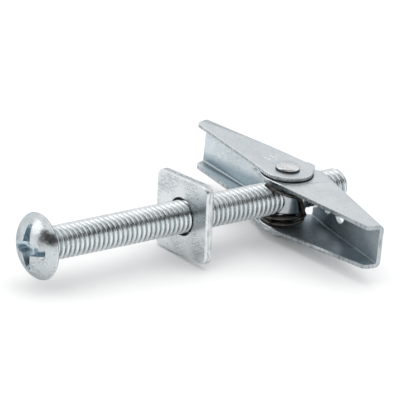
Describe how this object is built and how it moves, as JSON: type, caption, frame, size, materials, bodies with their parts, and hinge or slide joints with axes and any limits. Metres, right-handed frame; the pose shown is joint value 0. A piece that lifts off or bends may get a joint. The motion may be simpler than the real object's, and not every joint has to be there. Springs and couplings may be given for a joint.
{
  "type": "spring toggle bolt",
  "caption": "Spring toggle bolt: pan head machine screw with cross recess, loose square washer, trunnion nut and folded sheet wings opened by a torsion spring.",
  "frame": {"origin": "centre of the bearing face under the screw head, on the screw axis", "axes": "+X along the screw to its threaded end; +Z along the trunnion on which the wings fold; +Y towards the outer wing"},
  "size_m": [0.0677, 0.0505, 0.015],
  "materials": {
    "zinc_screw": "bright bluish zinc plating on steel",
    "zinc_sheet": "satin bluish zinc plating on sheet steel",
    "spring_wire": "dark oil tempered spring wire"
  },
  "bodies": {
    "screw": {"toggle_screw": "zinc_screw"},
    "nut": {"trunnion_nut": "zinc_screw", "fold_spring": "spring_wire"},
    "outer": {"outer_wing": "zinc_sheet"},
    "inner": {"inner_wing": "zinc_sheet"},
    "washer": {"square_washer": "zinc_sheet"}
  },
  "joints": [
    {"name": "nut_travel", "type": "slide", "parent": "screw", "child": "nut", "axis": [1, 0, 0], "range_m": [-0.015, 0.008]},
    {"name": "outer_wing_fold", "type": "hinge", "parent": "nut", "child": "outer", "pos_m": [0.0528, 0, 0], "axis": [0, 0, 1], "range_deg": [0, 78], "stiffness_Nm_per_rad": 0.003, "springref_deg": -28.65, "deforming": ["fold_spring"]},
    {"name": "inner_wing_fold", "type": "hinge", "parent": "nut", "child": "inner", "pos_m": [0.0528, 0, 0], "axis": [0, 0, 1], "range_deg": [-78, 0]},
    {"name": "washer_slide", "type": "slide", "parent": "screw", "child": "washer", "axis": [1, 0, 0], "range_m": [-0.03, 0]}
  ],
  "couplings": [
    {"joint": "inner_wing_fold", "follows": "outer_wing_fold", "ratio": -1},
    {"joint": "washer_slide", "follows": "outer_wing_fold", "m_per_rad": -0.02189}
  ]
}
